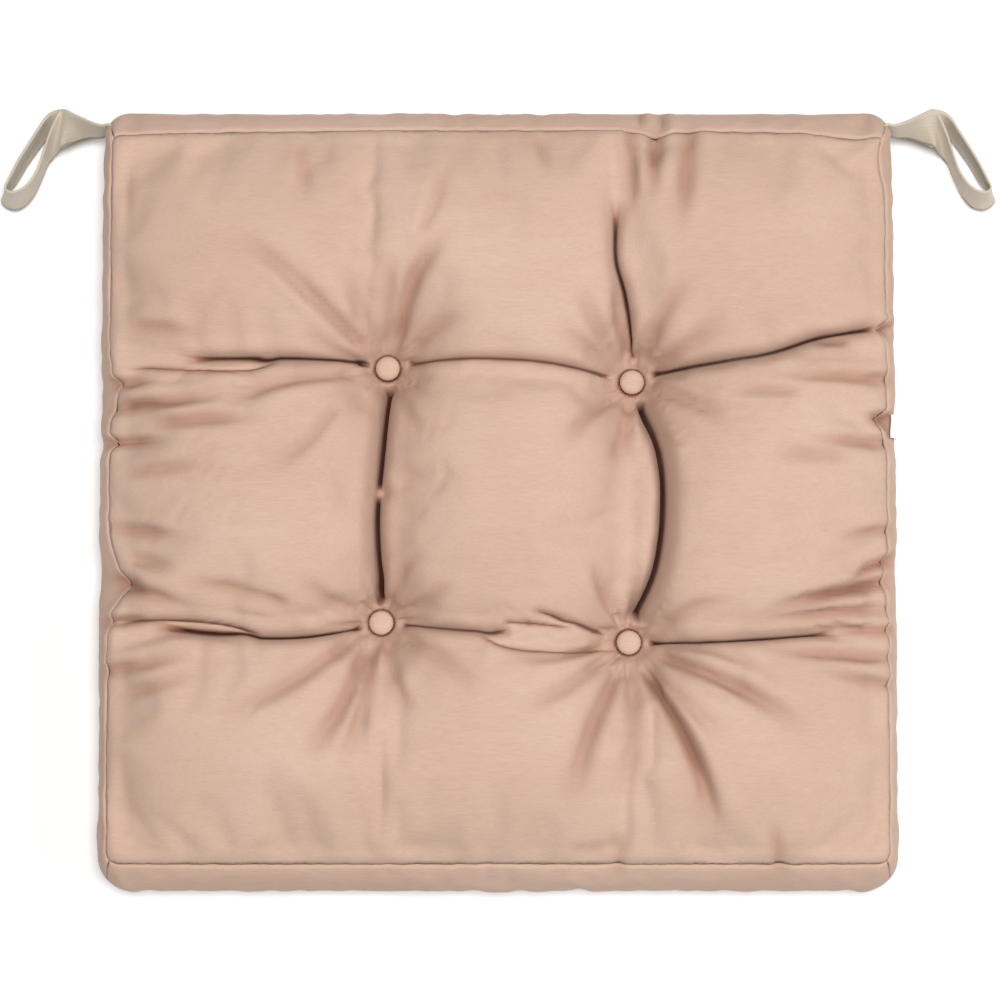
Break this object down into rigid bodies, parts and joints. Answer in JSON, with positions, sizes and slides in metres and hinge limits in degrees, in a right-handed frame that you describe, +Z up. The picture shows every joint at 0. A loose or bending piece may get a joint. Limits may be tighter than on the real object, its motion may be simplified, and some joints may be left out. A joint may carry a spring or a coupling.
{
  "type": "chair seat pad",
  "caption": "Square tufted velvet chair seat pad with box sides, covered buttons and an elastic tape loop sewn into each rear corner.",
  "frame": {"origin": "middle of the pad's underside, on the surface it lies on", "axes": "+Z up, +Y towards the rear edge with the two loops, +X to the right seen from the front edge"},
  "size_m": [0.5184, 0.4019, 0.0657],
  "materials": {
    "velvet": "short-pile velvet, dusty beige pink",
    "elastic_tape": "woven elastic tape, matt cream",
    "thread": "polyester sewing thread",
    "twine": "waxed tufting twine",
    "fibre": "hollow polyester fibre",
    "label": "blank satin label",
    "pressed_metal": "pressed sheet, dull",
    "anchor_plastic": "moulded, matt"
  },
  "bodies": {
    "pad": {"top_panel": "velvet", "bottom_panel": "velvet", "gusset_front": "velvet", "gusset_right": "velvet", "gusset_rear": "velvet", "gusset_left": "velvet", "fibre_filling": "fibre", "top_seam_thread": "thread", "bottom_seam_thread": "thread", "corner_seam_threads": "thread", "closing_stitches": "thread", "button_cover_rear_left": "velvet", "button_cover_rear_right": "velvet", "button_cover_front_left": "velvet", "button_cover_front_right": "velvet", "button_shell_rear_left": "pressed_metal", "button_shell_rear_right": "pressed_metal", "button_shell_front_left": "pressed_metal", "button_shell_front_right": "pressed_metal", "button_back_rear_left": "pressed_metal", "button_back_rear_right": "pressed_metal", "button_back_front_left": "pressed_metal", "button_back_front_right": "pressed_metal", "tufting_twine_rear_left": "twine", "tufting_twine_rear_right": "twine", "tufting_twine_front_left": "twine", "tufting_twine_front_right": "twine", "anchor_button_rear_left": "anchor_plastic", "anchor_button_rear_right": "anchor_plastic", "anchor_button_front_left": "anchor_plastic", "anchor_button_front_right": "anchor_plastic", "loop_sewn_ends_left": "elastic_tape", "loop_sewn_ends_right": "elastic_tape", "care_label": "label"},
    "loop_left": {"loop_left": "elastic_tape"},
    "loop_right": {"loop_right": "elastic_tape"}
  },
  "joints": [
    {"name": "left_loop_swing", "type": "hinge", "parent": "pad", "child": "loop_left", "pos_m": [-0.19693, 0.19393, 0.029], "axis": [0, 0, 1], "range_deg": [-110, 10]},
    {"name": "right_loop_swing", "type": "hinge", "parent": "pad", "child": "loop_right", "pos_m": [0.19693, 0.19393, 0.029], "axis": [0, 0, -1], "range_deg": [-110, 10]}
  ]
}
